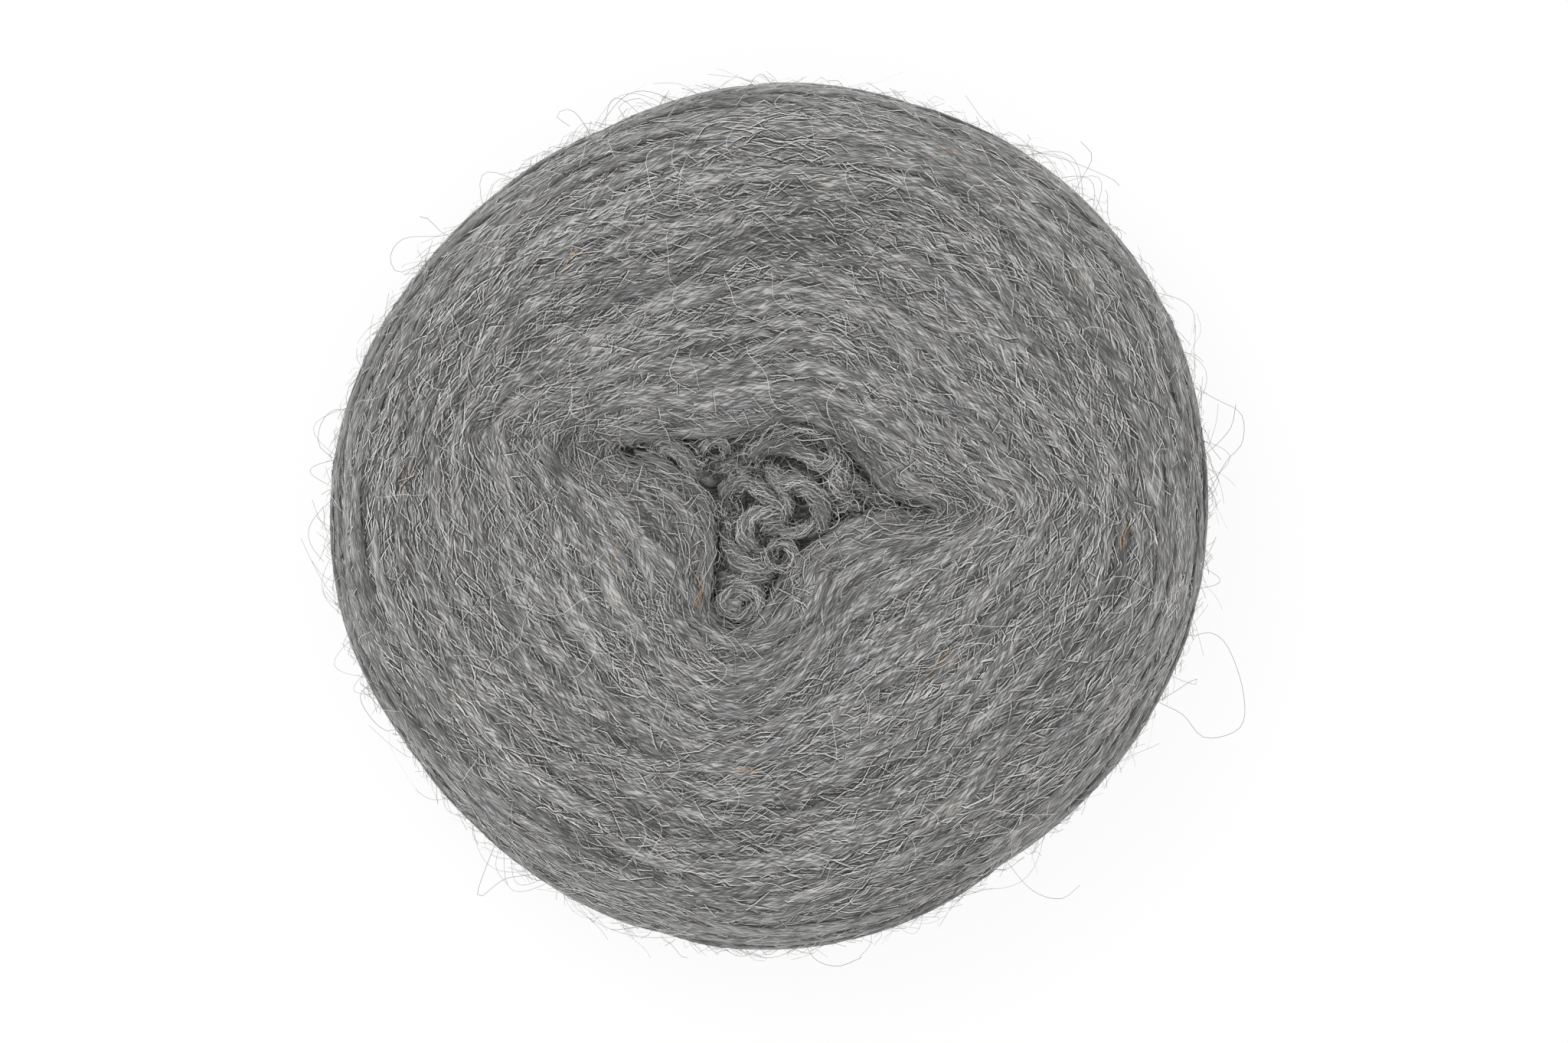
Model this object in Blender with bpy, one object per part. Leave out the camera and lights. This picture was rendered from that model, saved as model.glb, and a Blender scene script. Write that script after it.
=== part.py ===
"""A cake of unspun wool roving: a flat, round winding with a collapsed slot in its top face.

Units are millimetres in the tables and metres in Blender. +Z is up, the cake stands on its flat
base, and the origin is the middle of its plan on the ground.

The winding is one solid. Its shape is worked out from SECTIONS, one row for each bearing round
the cake, read inwards to outwards: the edge of the slot, the lip where the top starts to roll
down, four turns of roving across the top, and the rim. The loose inner end of the roving is a
second solid, a cord that lies in curls in the slot.
"""

import math

import bmesh
import bpy
import numpy as np

MM = 0.001

HEIGHT = 56.0
EQUATOR = 27.0            # height at which the side is widest
SHOULDER_REACH = 21.0     # how far in from the rim the top starts to round over
BASE_REACH = 15.0         # how far in from the rim the flat base starts
SHOULDER_POWER = 2.25     # 2 is an ellipse, more is squarer
SLOT_CENTRE = (-2.0, -1.0)
EDGE_DROP = 6.5           # the slot's edge lies this far under the top
LIP_DROP = 1.6
SLOT_FLOOR_GAP = 0.3

COLUMNS = 96
ROWS_FLOOR = 2
ROWS_WALL = 4
ROWS_ROLL = 4
ROWS_TOP = 19
ROWS_SIDE = 16
ROWS_BASE = 3

# One row for each section through the cake. The slot's edge is a point, the rest are radii.
SECTION_COLUMNS = (
    "bearing", "edge_x", "edge_y", "lip", "turn_1", "turn_2", "turn_3", "turn_4", "rim",
)
SECTIONS = (
    (0.0, 34.0, 0.2, 37.5, 43.5, 54.0, 64.0, 73.5, 91.0),
    (12.0, 25.8, 3.4, 29.5, 39.5, 52.5, 63.5, 75.0, 91.6),
    (30.0, 20.5, 9.5, 25.0, 35.0, 47.8, 60.4, 76.5, 92.3),
    (50.0, 15.5, 14.5, 23.5, 32.3, 45.5, 59.0, 73.0, 91.4),
    (70.0, 8.0, 16.8, 21.8, 31.4, 45.2, 57.8, 72.0, 89.2),
    (90.0, 0.0, 15.8, 20.2, 30.6, 43.7, 57.2, 72.4, 87.8),
    (110.0, -8.4, 14.9, 20.6, 30.8, 43.1, 56.2, 72.8, 85.6),
    (130.0, -16.6, 15.2, 25.3, 34.3, 46.1, 59.6, 75.0, 85.2),
    (145.0, -23.5, 14.6, 31.8, 39.0, 50.0, 63.6, 76.4, 86.2),
    (155.0, -28.6, 13.6, 37.2, 43.0, 53.0, 65.8, 77.6, 87.4),
    (165.0, -29.2, 11.4, 37.2, 44.0, 55.0, 67.4, 78.2, 88.2),
    (178.0, -20.4, 8.6, 28.5, 39.2, 52.8, 66.6, 78.0, 89.1),
    (195.0, -13.5, 4.6, 22.8, 34.5, 49.5, 63.6, 76.3, 89.1),
    (215.0, -9.4, -4.5, 21.6, 33.6, 46.6, 60.0, 75.0, 87.7),
    (228.0, -10.3, -12.0, 23.2, 34.0, 46.4, 59.0, 74.4, 87.8),
    (240.0, -11.3, -18.5, 25.8, 35.0, 46.6, 58.5, 74.0, 88.4),
    (255.0, -8.0, -23.4, 27.6, 36.2, 47.6, 59.0, 73.6, 89.6),
    (270.0, -2.4, -22.9, 26.0, 34.2, 45.2, 57.9, 73.5, 89.9),
    (285.0, 1.3, -17.3, 21.6, 29.8, 42.0, 56.2, 72.6, 89.5),
    (305.0, 4.6, -11.4, 17.2, 26.6, 41.2, 55.6, 69.6, 87.6),
    (325.0, 10.6, -6.5, 17.6, 27.6, 43.0, 57.0, 69.8, 89.1),
    (345.0, 20.4, -0.9, 24.2, 33.6, 49.3, 62.5, 72.5, 90.6),
)

# Main folds of the top. A fold runs outwards along its bearing, from one turn to another.
FOLD_COLUMNS = ("bearing", "width", "first_turn", "last_turn", "depth")
FOLDS = (
    (1.0, 9.0, -0.6, 1.4, 2.6),      # right corner of the slot
    (160.0, 9.0, -0.6, 1.3, 2.4),    # left corner
    (262.0, 15.0, -0.4, 1.0, 1.2),   # bottom pocket
    (22.0, 10.0, 2.4, 4.4, 1.3),     # where the outer wraps cross, upper right
    (312.0, 9.0, 2.6, 4.6, 1.6),     # where the outer wraps cross, lower right
    (168.0, 12.0, 2.8, 4.4, 1.0),    # dip inside the left shoulder
    (80.0, 14.0, 1.8, 3.2, -0.9),    # swelling across the top
    (232.0, 26.0, 0.2, 2.2, -0.8),   # pad below and left of the slot
    (325.0, 20.0, -0.2, 1.6, -1.3),  # pad below and right of the slot
    (40.0, 20.0, -0.2, 1.4, -1.1),   # pad above and right of the slot
)

SWELL_TOP = 0.55          # broad bands of turns, as a height
SWELL_SIDE = 0.75
TOP_BANDS = 5.0           # bands between the lip and the fourth turn
SIDE_BANDS = 4.0          # bands from the fourth turn to the base
SIDE_LEAN = 3             # bands that a wrap climbs in one turn round the side

# The inner end of the roving, from where it leaves the left corner of the slot: x, y, z, with
# x and y from the middle of the plan.
END_DIAMETER = 3.4
END_SPACING = 3.4         # between the points of the finished tube
END_ROUTE = (
    (-22.2, 13.4, 49.4), (-20.3, 14.0, 50.0), (-18.2, 12.6, 50.2), (-16.2, 10.8, 49.4),
    (-14.0, 9.2, 47.6), (-12.4, 7.4, 45.2), (-10.8, 8.8, 44.4), (-9.4, 11.0, 45.2),
    (-7.2, 11.6, 46.4), (-3.6, 12.8, 48.0), (0.2, 14.0, 49.4), (3.9, 14.0, 50.0),
    (7.6, 12.6, 50.2), (10.8, 10.8, 49.8), (13.4, 11.0, 48.2), (13.6, 9.0, 45.6),
    (10.8, 7.4, 44.4), (6.8, 8.4, 44.4), (2.8, 9.8, 45.4), (0.4, 9.4, 48.0),
    (2.2, 7.2, 50.0), (6.0, 6.4, 50.4), (9.2, 4.0, 50.4), (10.8, 0.6, 50.0),
    (9.4, -2.2, 48.6), (6.0, -3.4, 47.6), (2.4, -2.8, 46.2), (-1.0, -1.4, 44.6),
    (-4.4, 0.4, 44.4), (-7.6, 2.8, 44.8), (-8.6, 5.4, 46.6), (-6.4, 7.0, 48.6),
    (-3.4, 6.2, 49.6), (0.0, 4.0, 49.8), (2.8, 1.8, 49.2), (1.4, -0.4, 49.8),
    (-1.6, 0.2, 50.4), (-4.4, -1.2, 50.4), (-5.0, -3.9, 50.2), (-3.2, -6.5, 49.0),
    (-0.5, -8.0, 47.6), (1.5, -7.0, 45.6), (-0.7, -5.6, 44.3), (-4.1, -5.8, 44.4),
    (-7.3, -5.0, 46.2), (-7.7, -7.0, 48.4), (-6.6, -9.8, 49.8), (-3.8, -10.7, 50.3),
    (-1.2, -11.2, 49.6), (-0.3, -12.2, 47.2), (-2.2, -13.0, 44.8), (-5.2, -12.2, 44.4),
    (-8.2, -12.0, 45.8), (-8.4, -13.6, 48.0), (-5.8, -14.5, 49.1), (-3.0, -15.0, 49.0),
    (-3.2, -17.3, 47.6), (-4.7, -19.2, 46.6), (-7.6, -19.8, 46.8), (-9.4, -17.6, 48.4),
    (-7.4, -17.8, 50.8), (-5.6, -18.2, 51.4),
)

WOOL_GREY = (0.23, 0.228, 0.222, 1.0)
WOOL_ROUGHNESS = 0.95


def column(name):
    """One column of SECTIONS as an array."""
    index = SECTION_COLUMNS.index(name)
    return np.array([row[index] for row in SECTIONS])


def around(name, bearing):
    """A column of SECTIONS at any bearing in degrees, on a smooth closed curve."""
    knots, values = column("bearing"), column(name)
    after = np.append(knots[1:], knots[0] + 360.0)
    before = np.insert(knots[:-1], 0, knots[-1] - 360.0)
    slopes = (np.roll(values, -1) - np.roll(values, 1)) / (after - before)
    place = np.mod(bearing, 360.0)
    start = np.searchsorted(knots, place, side="right") - 1
    end = (start + 1) % len(knots)
    span = (after - knots)[start]
    share = (place - knots[start]) / span
    square, cube = share**2, share**3
    return (
        (2 * cube - 3 * square + 1) * values[start]
        + (cube - 2 * square + share) * span * slopes[start]
        + (3 * square - 2 * cube) * values[end]
        + (cube - square) * span * slopes[end]
    )


def turn_radius(bearing, turn):
    """Radius of the top at a bearing, for a turn from 0 at the lip to 4."""
    rings = [around(name, bearing) for name in ("lip", "turn_1", "turn_2", "turn_3", "turn_4")]
    radius = np.zeros(np.broadcast(bearing, turn).shape)
    for number, ring in enumerate(rings):
        radius = radius + ring * np.clip(1.0 - np.abs(turn - number), 0.0, 1.0)
    return radius


def ease(share):
    """0 to 1 with level ends."""
    share = np.clip(share, 0.0, 1.0)
    return share * share * (3.0 - 2.0 * share)


def fold_depth(bearing, turn):
    """How far the folds take the top down, in millimetres."""
    depth = 0.0
    for fold_bearing, width, first, last, fold in FOLDS:
        off = np.mod(bearing - fold_bearing + 180.0, 360.0) - 180.0
        along = ease((turn - first) / 0.6) * ease((last - turn) / 0.9)
        depth = depth + fold * np.exp(-((off / width) ** 2)) * along
    return depth


def shoulder_height(bearing, radius):
    """Height of the rounded top at a radius, before folds."""
    rim = around("rim", bearing)
    share = np.clip((radius - rim + SHOULDER_REACH) / SHOULDER_REACH, 0.0, 1.0)
    rise = (1.0 - share**SHOULDER_POWER) ** (1.0 / SHOULDER_POWER)
    return EQUATOR + (HEIGHT - EQUATOR) * rise


def top_point(bearing, turn):
    """A point of the top, from turn 0 at the lip to turn 4."""
    angle = np.radians(bearing)
    radius = turn_radius(bearing, turn)
    bands = np.cos(2 * math.pi * (TOP_BANDS * turn / 4.0 + bearing / 360.0))
    swell = SWELL_TOP * bands * ease(turn / 0.8)
    lip = LIP_DROP * (1.0 - ease((turn + 0.3) / 1.6))
    height = shoulder_height(bearing, radius) - fold_depth(bearing, turn) - lip + swell
    return np.stack([radius * np.cos(angle), radius * np.sin(angle), height], axis=-1)


def roll_point(bearing, share):
    """A point of the roll between the slot's edge, at share 0, and the lip, at share 1."""
    lip = top_point(bearing, np.zeros_like(bearing))
    edge = np.stack([around("edge_x", bearing), around("edge_y", bearing)], axis=-1)
    share = np.asarray(share)[..., None]
    plan = edge + (lip[..., :2] - edge) * (1.0 - np.cos(share * math.pi / 2)) ** 0.85
    low = HEIGHT - EDGE_DROP
    height = low + (lip[..., 2:] - low) * np.sin(share * math.pi / 2)
    return np.concatenate([plan, height], axis=-1)


def wall_point(bearing, share, floor):
    """A point of the slot's wall, from its foot at share 0 to the edge at share 1."""
    edge = roll_point(bearing, np.zeros_like(bearing))
    centre = np.array(SLOT_CENTRE)
    share = np.asarray(share)[..., None]
    shrink = 0.86 + 0.14 * share**0.5
    plan = centre + (edge[..., :2] - centre) * shrink
    height = floor + (edge[..., 2:] - floor) * share**0.8
    return np.concatenate([plan, height], axis=-1)


def side_point(bearing, share):
    """A point of the side, from the fourth turn at share 0 to the edge of the base at share 1."""
    rim = around("rim", bearing)
    start = top_point(bearing, np.full_like(bearing, 4.0))
    radius_4 = turn_radius(bearing, 4.0)
    high = np.clip((radius_4 - rim + SHOULDER_REACH) / SHOULDER_REACH, 0.0, 1.0)
    first = np.arccos(high ** (SHOULDER_POWER / 2))
    slope = first + (-math.pi / 2 - first) * share
    cosine, sine = np.cos(slope), np.sin(slope)
    upper = sine >= 0.0
    reach = np.where(upper, SHOULDER_REACH, BASE_REACH)
    semi = np.where(upper, HEIGHT - EQUATOR, EQUATOR)
    radius = rim - reach * (1.0 - np.abs(cosine) ** (2 / SHOULDER_POWER))
    height = EQUATOR + semi * np.sign(sine) * np.abs(sine) ** (2 / SHOULDER_POWER)
    wraps = 2 * math.pi * SIDE_BANDS * share
    lean = 2 * math.pi * SIDE_LEAN * bearing / 360.0
    bands = np.cos(wraps + lean) * np.cos(wraps * 0.5 - lean)
    swell = SWELL_SIDE * bands * ease(share / 0.15) * ease((1.0 - share) / 0.3)
    first_height = EQUATOR + (HEIGHT - EQUATOR) * np.abs(np.sin(first)) ** (2 / SHOULDER_POWER)
    settle = (start[..., 2] - first_height) * (1.0 - ease(share / 0.2))
    radius = radius + swell
    angle = np.radians(bearing)
    return np.stack([radius * np.cos(angle), radius * np.sin(angle), height + settle], axis=-1)


def base_point(bearing, share):
    """A point of the flat base, from its edge at share 0 to its middle at share 1."""
    edge = side_point(bearing, np.ones_like(bearing))
    edge[..., 2] = 0.0
    return edge * (1.0 - np.asarray(share))[..., None]


def slot_floor():
    """Height of the slot's floor, just under the lowest curl of the inner end."""
    lowest = end_points()[:, 2].min()
    return lowest - END_DIAMETER / 2 - SLOT_FLOOR_GAP


def winding_rows():
    """Rings of points from the middle of the slot's floor, over the top and down to the base."""
    bearing = np.arange(COLUMNS) * 360.0 / COLUMNS
    floor = slot_floor()
    foot = wall_point(bearing, np.zeros(COLUMNS), floor)
    middle = np.array([*SLOT_CENTRE, floor])
    rows = [middle + (foot - middle) * n / ROWS_FLOOR for n in range(1, ROWS_FLOOR)]
    for n in range(ROWS_WALL):
        rows.append(wall_point(bearing, np.full(COLUMNS, n / ROWS_WALL), floor))
    for n in range(ROWS_ROLL):
        rows.append(roll_point(bearing, np.full(COLUMNS, n / ROWS_ROLL)))
    for n in range(ROWS_TOP):
        rows.append(top_point(bearing, np.full(COLUMNS, 4.0 * n / ROWS_TOP)))
    for n in range(ROWS_SIDE):
        rows.append(side_point(bearing, np.full(COLUMNS, n / ROWS_SIDE)))
    for n in range(ROWS_BASE):
        rows.append(base_point(bearing, np.full(COLUMNS, n / ROWS_BASE)))
    return rows, middle


def smooth_line(points, spacing):
    """Points at an even spacing along a smooth curve through the given points."""
    knots = np.array(points, float)
    padded = np.vstack([2 * knots[0] - knots[1], knots, 2 * knots[-1] - knots[-2]])
    fine = []
    for before, start, end, after in zip(padded, padded[1:], padded[2:], padded[3:]):
        for t in np.arange(0.0, 1.0, 0.05):
            fine.append(
                0.5 * (2 * start + (end - before) * t
                       + (2 * before - 5 * start + 4 * end - after) * t**2
                       + (3 * start - before - 3 * end + after) * t**3)
            )
    fine = np.array([*fine, knots[-1]])
    along = np.append(0.0, np.cumsum(np.linalg.norm(np.diff(fine, axis=0), axis=1)))
    at = np.linspace(0.0, along[-1], round(along[-1] / spacing) + 1)
    return np.stack([np.interp(at, along, fine[:, k]) for k in range(3)], axis=1)


def end_points():
    """The centreline of the inner end, from the middle of the plan."""
    return smooth_line(END_ROUTE, END_SPACING)


def plan_centre(rows):
    """Middle of the plan, which goes to the origin."""
    plan = np.concatenate(rows)[:, :2]
    return (plan.min(0) + plan.max(0)) / 2


def wool_material(name):
    """Matt grey wool."""
    material = bpy.data.materials.new(name)
    material.use_nodes = True
    shader = material.node_tree.nodes["Principled BSDF"]
    shader.inputs["Base Color"].default_value = WOOL_GREY
    shader.inputs["Roughness"].default_value = WOOL_ROUGHNESS
    shader.inputs["Metallic"].default_value = 0.0
    return material


def winding_object(rows, middle, centre):
    """The wound roving as one closed solid, its rings bridged and both ends closed by a fan."""
    shift = np.array([*centre, 0.0])
    shell = bmesh.new()
    rings = [[shell.verts.new((p - shift) * MM) for p in row] for row in rows]
    for ring, following in zip(rings, rings[1:]):
        for n in range(COLUMNS):
            m = (n + 1) % COLUMNS
            shell.faces.new((ring[n], following[n], following[m], ring[m]))
    for ring, point in ((rings[0], middle), (rings[-1], np.zeros(3))):
        tip = shell.verts.new((point - shift) * MM)
        for n in range(COLUMNS):
            shell.faces.new((ring[n], ring[(n + 1) % COLUMNS], tip))
    bmesh.ops.recalc_face_normals(shell, faces=shell.faces)
    mesh = bpy.data.meshes.new("wound_roving")
    shell.to_mesh(mesh)
    shell.free()
    mesh.shade_smooth()
    winding = bpy.data.objects.new("wound_roving", mesh)
    mesh.materials.append(wool_material("wound_wool"))
    bpy.context.scene.collection.objects.link(winding)
    return winding


def inner_end_object():
    """The loose inner end, a round cord curled up in the slot."""
    curve = bpy.data.curves.new("inner_end", "CURVE")
    curve.dimensions = "3D"
    curve.bevel_depth = END_DIAMETER / 2 * MM
    curve.bevel_resolution = 2
    curve.use_fill_caps = True
    points = end_points()
    spline = curve.splines.new("POLY")
    spline.points.add(len(points) - 1)
    for target, point in zip(spline.points, points):
        target.co = (*(point * MM), 1.0)
    end = bpy.data.objects.new("inner_end", curve)
    curve.materials.append(wool_material("loose_wool"))
    bpy.context.scene.collection.objects.link(end)
    return end


def main():
    for old in list(bpy.data.objects):
        bpy.data.objects.remove(old)
    rows, middle = winding_rows()
    centre = plan_centre(rows)
    winding_object(rows, middle, centre)
    inner_end_object()


main()
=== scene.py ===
"""A cake of unspun grey wool roving, seen from straight above on a pale ground.

The winding is a core that follows the solid, strands of roving along its turns, and fibres
along the strands. Lengths are in millimetres, save for the stage's, and bearings in degrees.
The random draws come from one seed, so the cake is the same each time.
"""

import math

import bpy
import numpy as np
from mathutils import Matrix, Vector


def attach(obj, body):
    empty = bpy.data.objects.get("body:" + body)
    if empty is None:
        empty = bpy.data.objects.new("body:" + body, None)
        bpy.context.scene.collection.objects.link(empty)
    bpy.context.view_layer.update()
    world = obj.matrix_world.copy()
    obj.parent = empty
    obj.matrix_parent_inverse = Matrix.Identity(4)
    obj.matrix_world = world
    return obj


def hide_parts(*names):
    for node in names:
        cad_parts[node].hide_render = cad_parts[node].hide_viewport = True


MM = 0.001
rng = np.random.default_rng(20)
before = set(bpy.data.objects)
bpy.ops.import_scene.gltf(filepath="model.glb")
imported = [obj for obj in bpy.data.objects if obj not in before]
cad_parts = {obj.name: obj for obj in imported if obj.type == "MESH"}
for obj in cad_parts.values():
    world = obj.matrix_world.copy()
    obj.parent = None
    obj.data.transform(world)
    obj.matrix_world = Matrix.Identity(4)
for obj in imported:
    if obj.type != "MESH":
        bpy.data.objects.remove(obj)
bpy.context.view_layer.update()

# The shape of the winding, as in the solid
HEIGHT = 56.0
EQUATOR = 27.0  # height at which the side is widest
SHOULDER_REACH = 21.0  # how far in from the rim the top starts to round over
BASE_REACH = 15.0  # how far in from the rim the flat base starts
SHOULDER_POWER = 2.25  # 2 is an ellipse, more is squarer
SLOT_CENTRE = (-2.0, -1.0)
EDGE_DROP = 6.5  # the slot's edge lies this far under the top
LIP_DROP = 1.6
FLOOR = 42.24  # height of the slot's floor
PLAN_CENTRE = (1.0635, -0.9887)  # middle of the plan, which lies at the frame's origin
SLOT_MIDDLE = np.array(SLOT_CENTRE) - np.array(PLAN_CENTRE)

# One row for each section through the cake. The slot's edge is a point, the rest are radii.
SECTION_COLUMNS = "bearing edge_x edge_y lip turn_1 turn_2 turn_3 turn_4 rim".split()
SECTIONS = (
    (0, 34, 0.2, 37.5, 43.5, 54, 64, 73.5, 91),
    (12, 25.8, 3.4, 29.5, 39.5, 52.5, 63.5, 75, 91.6),
    (30, 20.5, 9.5, 25, 35, 47.8, 60.4, 76.5, 92.3),
    (50, 15.5, 14.5, 23.5, 32.3, 45.5, 59, 73, 91.4),
    (70, 8, 16.8, 21.8, 31.4, 45.2, 57.8, 72, 89.2),
    (90, 0, 15.8, 20.2, 30.6, 43.7, 57.2, 72.4, 87.8),
    (110, -8.4, 14.9, 20.6, 30.8, 43.1, 56.2, 72.8, 85.6),
    (130, -16.6, 15.2, 25.3, 34.3, 46.1, 59.6, 75, 85.2),
    (145, -23.5, 14.6, 31.8, 39, 50, 63.6, 76.4, 86.2),
    (155, -28.6, 13.6, 37.2, 43, 53, 65.8, 77.6, 87.4),
    (165, -29.2, 11.4, 37.2, 44, 55, 67.4, 78.2, 88.2),
    (178, -20.4, 8.6, 28.5, 39.2, 52.8, 66.6, 78, 89.1),
    (195, -13.5, 4.6, 22.8, 34.5, 49.5, 63.6, 76.3, 89.1),
    (215, -9.4, -4.5, 21.6, 33.6, 46.6, 60, 75, 87.7),
    (228, -10.3, -12, 23.2, 34, 46.4, 59, 74.4, 87.8),
    (240, -11.3, -18.5, 25.8, 35, 46.6, 58.5, 74, 88.4),
    (255, -8, -23.4, 27.6, 36.2, 47.6, 59, 73.6, 89.6),
    (270, -2.4, -22.9, 26, 34.2, 45.2, 57.9, 73.5, 89.9),
    (285, 1.3, -17.3, 21.6, 29.8, 42, 56.2, 72.6, 89.5),
    (305, 4.6, -11.4, 17.2, 26.6, 41.2, 55.6, 69.6, 87.6),
    (325, 10.6, -6.5, 17.6, 27.6, 43, 57, 69.8, 89.1),
    (345, 20.4, -0.9, 24.2, 33.6, 49.3, 62.5, 72.5, 90.6),
)

# Folds of the top: bearing, width, first turn, last turn, depth
FOLDS = (
    (1, 9, -0.6, 1.4, 2.6),
    (160, 9, -0.6, 1.3, 2.4),
    (262, 15, -0.4, 1, 1.2),
    (22, 10, 2.4, 4.4, 1.3),
    (312, 9, 2.6, 4.6, 1.6),
    (168, 12, 2.8, 4.4, 1),
    (80, 14, 1.8, 3.2, -0.9),
    (232, 26, 0.2, 2.2, -0.8),
    (325, 20, -0.2, 1.6, -1.3),
    (40, 20, -0.2, 1.4, -1.1),
)


def ease(share):
    share = np.clip(share, 0.0, 1.0)
    return share * share * (3.0 - 2.0 * share)


def off_bearing(bearing, centre):
    return np.mod(bearing - centre + 180.0, 360.0) - 180.0


def around(name, bearing):
    """A column of SECTIONS at any bearing, on a smooth closed curve."""
    knots = np.array([row[0] for row in SECTIONS])
    values = np.array([row[SECTION_COLUMNS.index(name)] for row in SECTIONS])
    after = np.append(knots[1:], knots[0] + 360.0)
    before = np.insert(knots[:-1], 0, knots[-1] - 360.0)
    slopes = (np.roll(values, -1) - np.roll(values, 1)) / (after - before)
    place = np.mod(bearing, 360.0)
    start = np.searchsorted(knots, place, side="right") - 1
    end = (start + 1) % len(knots)
    span = (after - knots)[start]
    share = (place - knots[start]) / span
    square, cube = share**2, share**3
    return (
        (2 * cube - 3 * square + 1) * values[start]
        + (cube - 2 * square + share) * span * slopes[start]
        + (3 * square - 2 * cube) * values[end]
        + (cube - square) * span * slopes[end]
    )


def polar(radius, bearing, height):
    angle = np.radians(bearing)
    return np.stack([radius * np.cos(angle), radius * np.sin(angle), height], axis=-1)


def turn_radius(bearing, turn):
    """How far out a turn is: the lip is turn 0 and the shoulder is turn 4."""
    rings = [around(name, bearing) for name in ("lip", "turn_1", "turn_2", "turn_3", "turn_4")]
    return sum(r * np.clip(1.0 - np.abs(turn - n), 0.0, 1.0) for n, r in enumerate(rings))


def top_point(bearing, turn):
    """The top, from the lip to the shoulder."""
    radius = turn_radius(bearing, turn)
    share = np.clip((radius - around("rim", bearing) + SHOULDER_REACH) / SHOULDER_REACH, 0, 1)
    height = EQUATOR + (HEIGHT - EQUATOR) * (1 - share**SHOULDER_POWER) ** (1 / SHOULDER_POWER)
    for fold_bearing, width, first, last, depth in FOLDS:
        off = off_bearing(bearing, fold_bearing)
        along = ease((turn - first) / 0.6) * ease((last - turn) / 0.9)
        height = height - depth * np.exp(-((off / width) ** 2)) * along
    height = height - LIP_DROP * (1.0 - ease((turn + 0.3) / 1.6))
    return polar(radius, bearing, height)


def roll_point(bearing, share):
    """Where the top rolls down into the slot, from the slot's edge to the lip."""
    lip = top_point(bearing, np.zeros_like(bearing))
    edge = np.stack([around("edge_x", bearing), around("edge_y", bearing)], axis=-1)
    share = np.asarray(share)[..., None]
    plan = edge + (lip[..., :2] - edge) * (1.0 - np.cos(share * math.pi / 2)) ** 0.85
    low = HEIGHT - EDGE_DROP
    height = low + (lip[..., 2:] - low) * np.sin(share * math.pi / 2)
    return np.concatenate([plan, height], axis=-1)


def wall_point(bearing, share):
    """The slot's wall, from its floor up to its edge."""
    edge = roll_point(bearing, np.zeros_like(bearing))
    centre = np.array(SLOT_CENTRE)
    share = np.asarray(share)[..., None]
    plan = centre + (edge[..., :2] - centre) * (0.86 + 0.14 * share**0.5)
    height = FLOOR + (edge[..., 2:] - FLOOR) * share**0.8
    return np.concatenate([plan, height], axis=-1)


def side_point(bearing, share):
    """The shoulder and the side, from turn 4 down to the base."""
    rim = around("rim", bearing)
    start = top_point(bearing, np.full_like(bearing, 4.0))
    high = np.clip((turn_radius(bearing, 4.0) - rim + SHOULDER_REACH) / SHOULDER_REACH, 0.0, 1.0)
    first = np.arccos(high ** (SHOULDER_POWER / 2))
    slope = first + (-math.pi / 2 - first) * share
    cosine, sine = np.cos(slope), np.sin(slope)
    reach = np.where(sine >= 0.0, SHOULDER_REACH, BASE_REACH)
    semi = np.where(sine >= 0.0, HEIGHT - EQUATOR, EQUATOR)
    radius = rim - reach * (1.0 - np.abs(cosine) ** (2 / SHOULDER_POWER))
    height = EQUATOR + semi * np.sign(sine) * np.abs(sine) ** (2 / SHOULDER_POWER)
    first_height = EQUATOR + (HEIGHT - EQUATOR) * np.abs(np.sin(first)) ** (2 / SHOULDER_POWER)
    height = height + (start[..., 2] - first_height) * (1.0 - ease(share / 0.2))
    return polar(radius, bearing, height)


# The whole surface as a grid, from the foot of the slot's wall to the middle of the base.
# `lay` is how far a row is along the surface, in millimetres.
BEARINGS = 720
WALL_ROWS, ROLL_ROWS, TOP_ROWS, SIDE_ROWS, BASE_ROWS = 13, 11, 69, 60, 23
LIP_ROW = WALL_ROWS + ROLL_ROWS
SHOULDER_ROW = LIP_ROW + TOP_ROWS
BASE_ROW = SHOULDER_ROW + SIDE_ROWS - 1
grid_bearing = np.arange(BEARINGS) * 360.0 / BEARINGS
rows = []
for point, last, count in (
        (wall_point, 1, WALL_ROWS), (roll_point, 1, ROLL_ROWS), (top_point, 4, TOP_ROWS)):
    for t in np.linspace(0, last, count + 1)[:-1]:
        rows.append(point(grid_bearing, np.full(BEARINGS, t)))
rows += [side_point(grid_bearing, np.full(BEARINGS, t)) for t in np.linspace(0, 1, SIDE_ROWS)]
base_edge = rows[-1].copy()
rows += [base_edge * np.array([t, t, 0.0]) for t in np.linspace(1, 0.02, BASE_ROWS + 1)[1:]]
GRID = np.array(rows) - np.array([*PLAN_CENTRE, 0.0])
GRID = np.concatenate([GRID, GRID[:, :1]], axis=1)
steps = np.linalg.norm(np.diff(GRID, axis=0), axis=2).mean(axis=1)
LAY = np.append(0.0, np.cumsum(steps))
LIP_LAY, SHOULDER_LAY, BASE_LAY, END_LAY = LAY[[LIP_ROW, SHOULDER_ROW, BASE_ROW, -1]]
tangent_round = np.gradient(GRID, axis=1)
tangent_out = np.gradient(GRID, axis=0)
NORMAL = np.cross(tangent_out, tangent_round)
NORMAL /= np.maximum(np.linalg.norm(NORMAL, axis=2, keepdims=True), 1e-9)
if NORMAL[LIP_ROW + 36, 0, 2] < 0:  # the top's normals point up
    NORMAL = -NORMAL
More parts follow.
